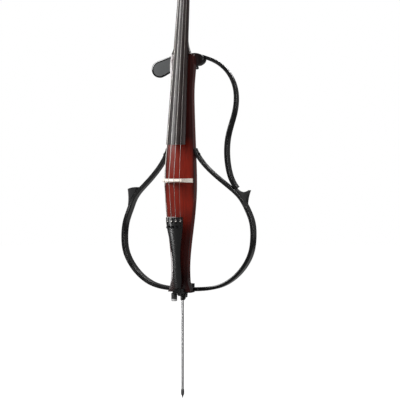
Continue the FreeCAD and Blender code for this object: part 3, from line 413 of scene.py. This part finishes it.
def circuit_green():
    """Green lacquered board with a web of tracks."""
    nodes = Nodes("circuit_green")
    tracks = nodes.add("ShaderNodeTexVoronoi", feature="DISTANCE_TO_EDGE")
    tracks.inputs["Scale"].default_value = 160
    nodes.link(nodes.place, tracks.inputs["Vector"])
    colour = nodes.ramp(tracks.outputs["Distance"],
                        ((0.03, (0.02, 0.16, 0.06)), (0.06, (0.008, 0.07, 0.025))))
    return nodes.finish(colour, nodes.map_range(nodes.noise(90), 0, 1, 0.3, 0.45))


def foam_cover():
    """Grained cover of the chest pad."""
    nodes = Nodes("pad_cover")
    cells = nodes.add("ShaderNodeTexVoronoi", feature="F1")
    cells.inputs["Scale"].default_value = 620
    nodes.link(nodes.place, cells.inputs["Vector"])
    wear = nodes.noise(22, detail=4)
    colour = nodes.ramp(wear, ((0.3, (0.011, 0.011, 0.012)), (0.75, (0.024, 0.024, 0.026))))
    rough = nodes.vary(wear, 0.5, 0.68)
    normal = nodes.bump(cells.outputs["Distance"], 0.4, 0.0003)
    return nodes.finish(colour, rough, normal, Sheen_Weight=0.15)


STRINGS = "cgda"                # the thickest first
STRING_TONES = (0.55, 0.50, 0.42, 0.30)


def dress(material, *names):
    """Gives one material to the named CAD nodes."""
    for name in names:
        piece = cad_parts[name]
        for slot in piece.material_slots:
            slot.material = material
        if not piece.material_slots:
            piece.data.materials.append(material)


def dress_frame():
    """Gives every CAD node its material."""
    red = (0.150, 0.011, 0.005)
    brown = (0.085, 0.009, 0.006)
    black = (0.014, 0.003, 0.003)
    tips = (0.042, 0.008, 0.007)
    dress(lacquer("sunburst", red, brown, black, tips, 0.16), "body_front")
    dress(shell_lacquer((0.095, 0.011, 0.008), (0.010, 0.003, 0.003), 0.16), "body_shell")
    neck_dark = (0.009, 0.004, 0.003)
    neck_light = (0.022, 0.008, 0.006)
    dress(plain_lacquer("neck_lacquer", neck_dark, neck_light, 0.26), "neck")
    dress(plain_lacquer("head_lacquer", neck_dark, neck_light, 0.40, coat=0.0), "pegbox")
    dress(ebony(), "fingerboard", "nut")
    dress(ebony("peg_wood"), *[f"peg_{s}" for s in STRINGS])
    dress(maple(), "bridge")
    dress(bare_wood(), "inner_blocks")
    dress(gloss_black("frame_black"), "left_frame", "right_frame", "upper_frame", "frame_yoke")
    # painted highlight: the spurs' black is lifted to a lighter tone, standing in for light caught
    # on their faces
    dress(gloss_black("spur_black_painted_highlight", 0.016), "corner_blocks")
    dress(gloss_black("tail_black", 0.0025, 0.2), "tailpiece", "tail_cord", "saddle",
          "endpin_socket")
    dress(bracket_coat(), "shoulder_bracket")
    dress(arm_black_with_painted_tray_reflection(), "chest_arm")
    dress(moulded("control_black", 0.014), "control_plate", "battery_door", "volume_knob",
          "tone_knob")
    dress(moulded("switch_grey", 0.10), "power_switch")
    dress(knob_coat(), "left_frame_knob")
    dress(moulded("knob_black", 0.007, 0.32), "right_frame_knob", "bracket_knob", "endpin_screw")
    dress(metal("drawn_steel", (0.40, 0.40, 0.405), (0.62, 0.62, 0.625), 0.26), "endpin_rod",
          "tuner_axle")
    dress(metal("tip_steel", (0.06, 0.06, 0.062), (0.16, 0.16, 0.165), 0.35), "endpin_tip")
    dress(metal("black_bolt", (0.02, 0.02, 0.02), (0.05, 0.05, 0.05), 0.35, (1, 1, 1), 300),
          "frame_bolts", "plate_screws")
    dress(jack_metal(), "line_out_jack", "headphone_jack")
    dress(metal("tuner_black", (0.015, 0.015, 0.016), (0.04, 0.04, 0.042), 0.25, (1, 1, 1), 400),
          *[f"fine_screw_{s}" for s in STRINGS])
    dress(metal("lever_steel", (0.25, 0.25, 0.25), (0.4, 0.4, 0.4), 0.3),
          *[f"tuner_lever_{s}" for s in STRINGS])
    dress(metal("sensor_brass", (0.5, 0.34, 0.12), (0.7, 0.5, 0.2), 0.3), "bridge_pickup")
    dress(cell_jacket(), "battery_cells")
    dress(circuit_green(), "circuit_board")
    for s, tone in zip(STRINGS, STRING_TONES):
        dress(wound_string(f"string_metal_{s}", tone), f"string_{s}", f"winding_{s}")


# ---- pieces ----

# the chest arm's two round ends: middle across and up, then radius
ARM_END = (-0.095, 1.0505)
ARM_HUB = (-0.012, 1.084)
ARM_END_RADIUS = 0.027
ARM_HUB_RADIUS = 0.021
# the band round its tray: how far inside the arm's edge, depth of the band's surface
RIM_SECTION = ((0.0010, 0.0434), (0.0012, 0.0433), (0.0044, 0.0432), (0.0046, 0.0432),
               (0.0048, 0.0433), (0.0048, 0.0446))

# the chest pad from its base to its crown: share of the radius, share of the depth
PAD_PROFILE = ((0.0, 0.0), (0.90, 0.0), (0.955, 0.05), (0.965, 0.12), (0.985, 0.16),
               (0.992, 0.20), (0.985, 0.24), (0.965, 0.28), (0.985, 0.36), (0.99, 0.5),
               (0.96, 0.66), (0.89, 0.80), (0.76, 0.90), (0.55, 0.965), (0.3, 0.99), (0.0, 1.0))
PAD_SIDES = 72

POINTER_SIZE = (0.0009, 0.0006, 0.0042)
POINTER_EDGE = 0.0002
POINTER_RISE = 0.0042           # its middle above the knob's middle
POINTER_SINK = 0.00025          # its middle below the knob's face


def mesh_from(form, name):
    """The finished bmesh as a mesh."""
    mesh = bpy.data.meshes.new(name)
    form.to_mesh(mesh)
    form.free()
    return mesh


def new_piece(name, mesh, material, body):
    """A smooth-shaded piece that moves with a body of the frame."""
    piece = bpy.data.objects.new(name, mesh)
    bpy.context.collection.objects.link(piece)
    piece.data.materials.append(material)
    for polygon in piece.data.polygons:
        polygon.use_smooth = True
    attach(piece, body)
    return piece


def make_chest_pad():
    """A round crowned pad with a piped seam near its base."""
    low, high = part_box("chest_pad")
    middle = (Vector(low) + Vector(high)) / 2
    radius = (high[0] - low[0]) / 2
    depth = high[1] - low[1]
    form = bmesh.new()
    rings = []
    for share, height in PAD_PROFILE:
        y = low[1] + depth * height
        if share == 0:
            rings.append([form.verts.new((middle.x, y, middle.z))])
            continue
        r = share * radius
        angles = [2 * math.pi * k / PAD_SIDES for k in range(PAD_SIDES)]
        rings.append([form.verts.new((middle.x + r * math.cos(a), y, middle.z + r * math.sin(a)))
                      for a in angles])
    for one, other in zip(rings, rings[1:]):
        for k in range(PAD_SIDES):
            after = (k + 1) % PAD_SIDES
            if len(one) == 1:
                form.faces.new((one[0], other[after], other[k]))
            elif len(other) == 1:
                form.faces.new((one[k], one[after], other[0]))
            else:
                form.faces.new((one[k], one[after], other[after], other[k]))
    bmesh.ops.recalc_face_normals(form, faces=form.faces)
    mesh = mesh_from(form, "chest_pad_cover")
    piece = new_piece("chest_pad_cover", mesh, foam_cover(), "chest_support")
    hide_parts("chest_pad")


def make_pointers():
    """A short pale line on each control knob."""
    paint = moulded("pointer_paint", 0.6, 0.4)
    for node, body in (("volume_knob", "volume"), ("tone_knob", "tone")):
        low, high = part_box(node)
        x = (low[0] + high[0]) / 2
        z = (low[2] + high[2]) / 2
        form = bmesh.new()
        bmesh.ops.create_cube(form, size=1)
        bmesh.ops.scale(form, vec=POINTER_SIZE, verts=form.verts)
        bmesh.ops.bevel(form, geom=form.edges, offset=POINTER_EDGE, segments=2, affect="EDGES")
        place = (x, high[1] - POINTER_SINK, z + POINTER_RISE)
        bmesh.ops.translate(form, vec=place, verts=form.verts)
        new_piece(f"{node}_pointer", mesh_from(form, f"{node}_pointer"), paint, body)


def arm_outline(end_radius, hub_radius, steps=40):
    """Points round the outline of the chest arm: its large end, then its hub."""
    reach = math.hypot(ARM_HUB[0] - ARM_END[0], ARM_HUB[1] - ARM_END[1])
    lean = math.atan2(ARM_HUB[1] - ARM_END[1], ARM_HUB[0] - ARM_END[0])
    taper = math.asin((end_radius - hub_radius) / reach)
    quarter = math.pi / 2
    arcs = ((ARM_END, end_radius, quarter - taper, math.pi + 2 * taper),
            (ARM_HUB, hub_radius, taper - quarter, math.pi - 2 * taper))
    points = []
    for (x, z), radius, start, sweep in arcs:
        for k in range(steps):
            angle = lean + start + sweep * k / (steps - 1)
            points.append((x + radius * math.cos(angle), z + radius * math.sin(angle)))
    return points


def make_arm_rim():
    """A glossy bevelled band round the tray of the chest arm."""
    form = bmesh.new()
    rings = []
    for inset, depth in RIM_SECTION:
        outline = arm_outline(ARM_END_RADIUS - inset, ARM_HUB_RADIUS - inset)
        rings.append([form.verts.new((x, depth, z)) for x, z in outline])
    for one, other in zip(rings, rings[1:]):
        count = len(one)
        for k in range(count):
            after = (k + 1) % count
            form.faces.new((one[k], one[after], other[after], other[k]))
    bmesh.ops.recalc_face_normals(form, faces=form.faces)
    mesh = mesh_from(form, "chest_arm_rim")
    coat = gloss_black("rim_black", rough_low=0.06)
    new_piece("chest_arm_rim", mesh, coat, "chest_support")


# ---- stage and light ----

ROOM_LIGHT = 0.12               # the room's brightness, where the backdrop's is 1
FLOOR_GLOW = 0.97               # keeps the floor as pale as the backdrop
FLOOR_RADIUS = 14
FLOOR_SIDES = 96
FLOOR_DROP = 0.0005             # below the endpin's point

BODY_MIDDLE = (0, 0, 0.8)
TAIL_MIDDLE = (0, -0.05, 0.45)
# name, place, what it faces, watts, width, height
LIGHTS = (("key", (-2.05, -2.7, 2.45), BODY_MIDDLE, 165, 0.9, 2.2),
          # beside the floor, mirrored in the tailpiece's side
          ("low_strip", (-0.95, -1.25, 0.14), TAIL_MIDDLE, 5, 0.16, 0.5),
          ("fill", (2.6, -2.4, 1.6), BODY_MIDDLE, 60, 0.7, 1.8),
          ("back", (0.5, 2.8, 2.6), BODY_MIDDLE, 60, 2.0, 1.0))


def make_stage():
    """A pale floor, and a backdrop as pale for the camera only."""
    form = bmesh.new()
    bmesh.ops.create_circle(form, cap_ends=True, segments=FLOOR_SIDES, radius=FLOOR_RADIUS)
    floor = bpy.data.objects.new("floor", mesh_from(form, "floor"))
    bpy.context.collection.objects.link(floor)
    nodes = Nodes("floor_paper")
    tone = nodes.ramp(nodes.noise(3, detail=2),
                      ((0.3, (0.22, 0.22, 0.22)), (0.7, (0.24, 0.24, 0.24))))
    seen = nodes.add("ShaderNodeLightPath").outputs["Is Camera Ray"]
    glow = nodes.math("MULTIPLY", seen, FLOOR_GLOW)
    nodes.link(glow, nodes.shader.inputs["Emission Strength"])
    paper = nodes.finish(tone, None, None, Roughness=0.9, Emission_Color=(1, 1, 1, 1))
    floor.data.materials.append(paper)
    floor.location.z = -FLOOR_DROP
    world = bpy.data.worlds.new("studio")
    bpy.context.scene.world = world
    world.use_nodes = True
    tree = world.node_tree
    background = tree.nodes["Background"]
    background.inputs["Color"].default_value = (1, 1, 1, 1)
    # the backdrop is bright in the picture, the room around the object is dimmer
    rays = tree.nodes.new("ShaderNodeLightPath")
    level = tree.nodes.new("ShaderNodeMapRange")
    level.inputs["To Min"].default_value = ROOM_LIGHT
    level.inputs["To Max"].default_value = 1.0
    tree.links.new(rays.outputs["Is Camera Ray"], level.inputs["Value"])
    tree.links.new(level.outputs["Result"], background.inputs["Strength"])
    bpy.context.scene.view_settings.view_transform = "Standard"


def area_light(name, place, target, power, width, height):
    """A soft rectangular light turned to face its target."""
    data = bpy.data.lights.new(name, "AREA")
    data.shape = "RECTANGLE"
    data.size = width
    data.size_y = height
    data.energy = power
    lamp = bpy.data.objects.new(name, data)
    bpy.context.collection.objects.link(lamp)
    lamp.location = place
    lamp.rotation_euler = (Vector(target) - Vector(place)).to_track_quat("-Z", "Y").to_euler()


make_camera()
dress_frame()
make_chest_pad()
make_pointers()
make_arm_rim()
make_stage()
for light in LIGHTS:
    area_light(*light)
